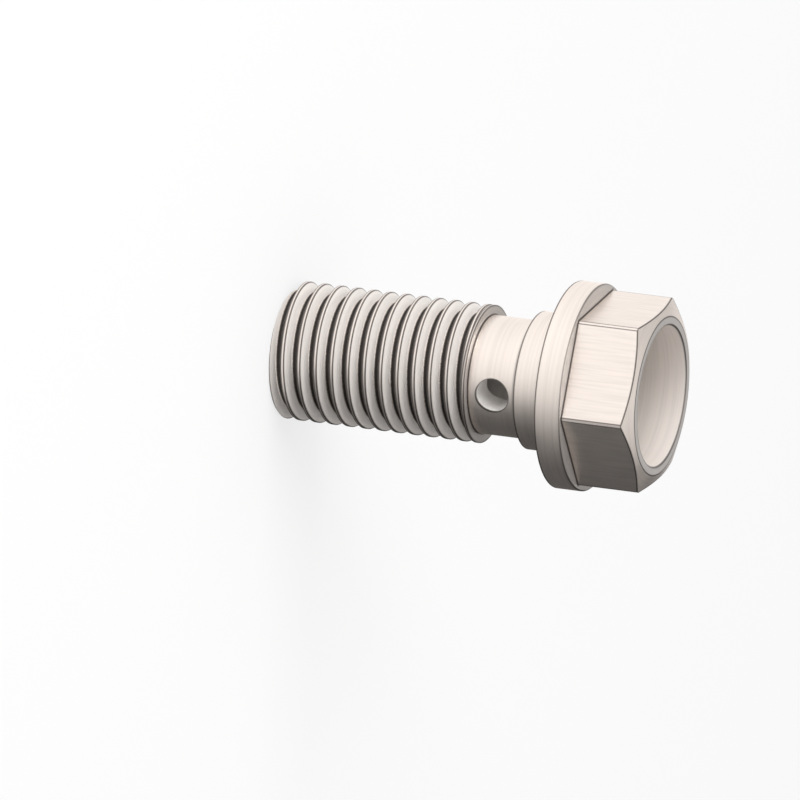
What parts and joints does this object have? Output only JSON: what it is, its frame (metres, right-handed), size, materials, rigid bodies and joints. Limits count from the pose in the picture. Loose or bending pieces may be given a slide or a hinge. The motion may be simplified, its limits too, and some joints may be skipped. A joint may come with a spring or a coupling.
{
  "type": "banjo bolt",
  "caption": "Hollow hexagon-headed banjo bolt: flange, shoulder, cross-drilled neck and helical metric thread, for joining a fluid line's eye fitting to a port.",
  "frame": {"origin": "on the bolt's axis, in the plane of the sealing face under the flange", "axes": "+Z along the bolt's axis towards the head; Y along the cross hole, in line with two of the hexagon's corners"},
  "size_m": [0.018, 0.018, 0.034],
  "materials": {
    "bolt_metal": "fine-turned satin, pale warm grey"
  },
  "bodies": {
    "root": {"banjo_bolt": "bolt_metal"}
  },
  "joints": []
}
